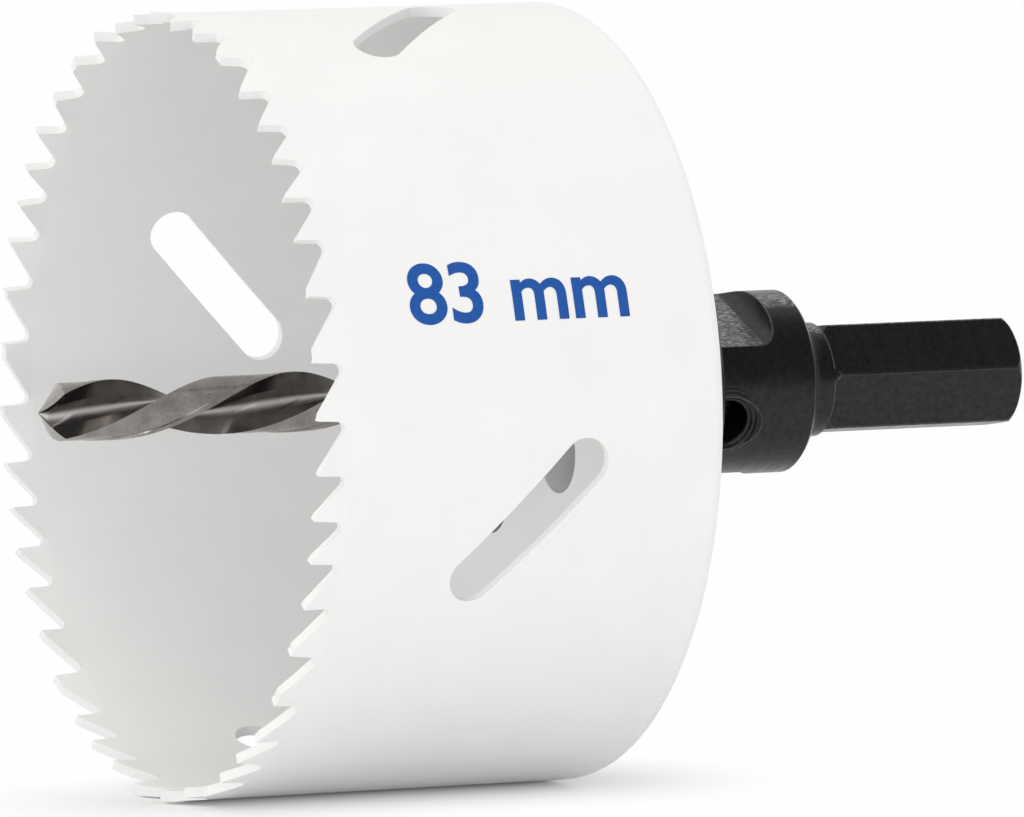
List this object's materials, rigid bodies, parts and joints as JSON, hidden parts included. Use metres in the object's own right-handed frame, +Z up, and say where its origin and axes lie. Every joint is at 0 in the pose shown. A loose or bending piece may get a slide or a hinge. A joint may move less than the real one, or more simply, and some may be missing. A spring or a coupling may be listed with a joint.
{
  "type": "hole saw with arbor",
  "caption": "White hole saw cup with uneven teeth and slanted core slots, on a black hexagonal arbor with a twist pilot drill and a sliding drive ring.",
  "frame": {"origin": "centre of the flat end face of the hexagonal shank", "axes": "+X along the tool axis, from the teeth to the shank's end; +Z up as the tool lies on its side; +Y away from the camera side"},
  "size_m": [0.1126, 0.0828, 0.0828],
  "materials": {
    "white_paint": "satin enamel on steel",
    "black_oxide": "satin black oxide with turning marks",
    "black_screw": "black oxide on hardened steel",
    "drill_steel": "dark steam-treated high speed steel with bright flutes",
    "bright_steel": "bare ground steel"
  },
  "bodies": {
    "arbor": {"cup_wall": "white_paint", "back_plate": "white_paint", "arbor_body": "black_oxide", "pilot_set_screw": "black_screw", "pilot_drill": "drill_steel"},
    "ring": {"drive_ring": "black_oxide", "drive_pin_upper": "black_screw", "drive_pin_lower": "black_screw", "detent_ball": "bright_steel", "detent_spring": "bright_steel", "detent_screw": "black_screw"}
  },
  "joints": [
    {"name": "drive_ring_slide", "type": "slide", "parent": "arbor", "child": "ring", "axis": [1, 0, 0], "range_m": [0, 0.008]}
  ]
}
